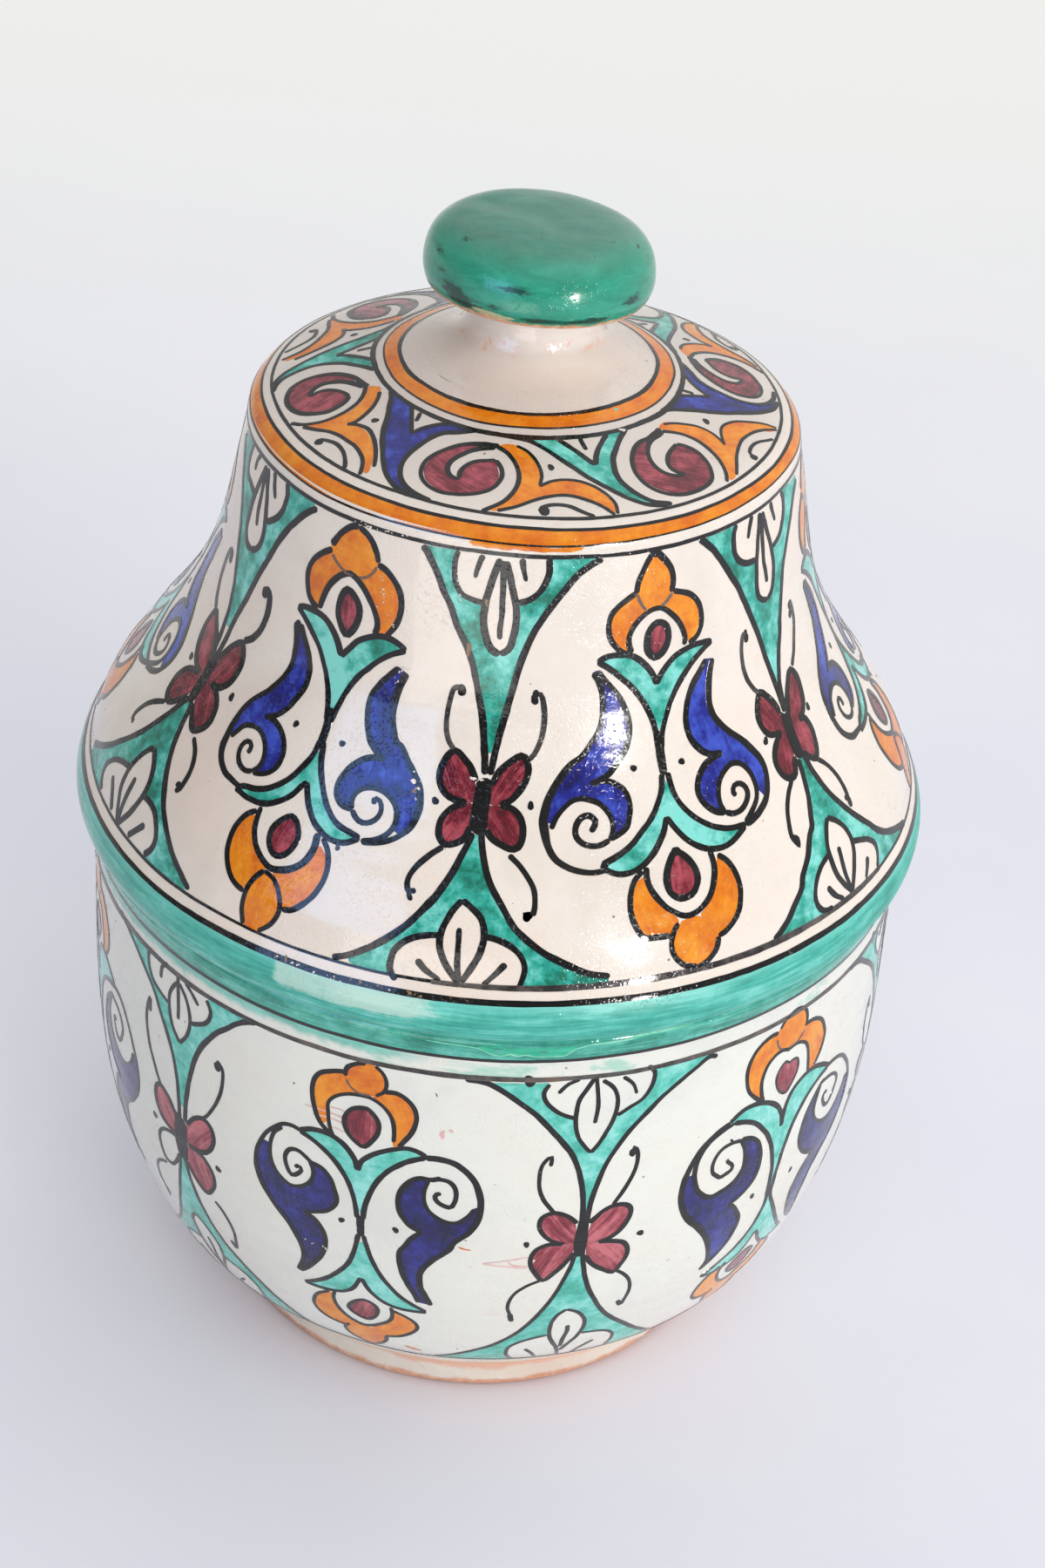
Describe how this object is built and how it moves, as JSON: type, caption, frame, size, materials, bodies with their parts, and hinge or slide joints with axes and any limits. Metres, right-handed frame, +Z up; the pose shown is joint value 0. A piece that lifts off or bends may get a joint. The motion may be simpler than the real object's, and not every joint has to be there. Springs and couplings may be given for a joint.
{
  "type": "lidded ceramic jar",
  "caption": "Round glazed earthenware jar on a ring foot, with a tall bell-shaped lid that lifts off by a mushroom knob, painted all over with a traditional arabesque.",
  "frame": {"origin": "centre of the foot's underside, on the axis of turning", "axes": "+Z up along the axis of turning, towards the knob; -Y is the side that faces the camera in the picture"},
  "size_m": [0.244, 0.244, 0.3466],
  "materials": {
    "jar_glaze": "glossy white tin glaze with painted decoration",
    "lid_glaze": "glossy warm white tin glaze with painted decoration",
    "teal_glaze": "glossy streaky teal glaze",
    "bare_clay": "thin glaze over pinkish clay"
  },
  "bodies": {
    "jar": {"jar_body": "jar_glaze", "foot_ring": "bare_clay"},
    "lid": {"lid_shell": "lid_glaze", "lid_locating_flange": "bare_clay", "knob_stem": "lid_glaze", "knob_cap": "teal_glaze"}
  },
  "joints": [
    {"name": "lid_lift", "type": "slide", "parent": "jar", "child": "lid", "axis": [0, 0, 1], "range_m": [0, 0.25]}
  ]
}
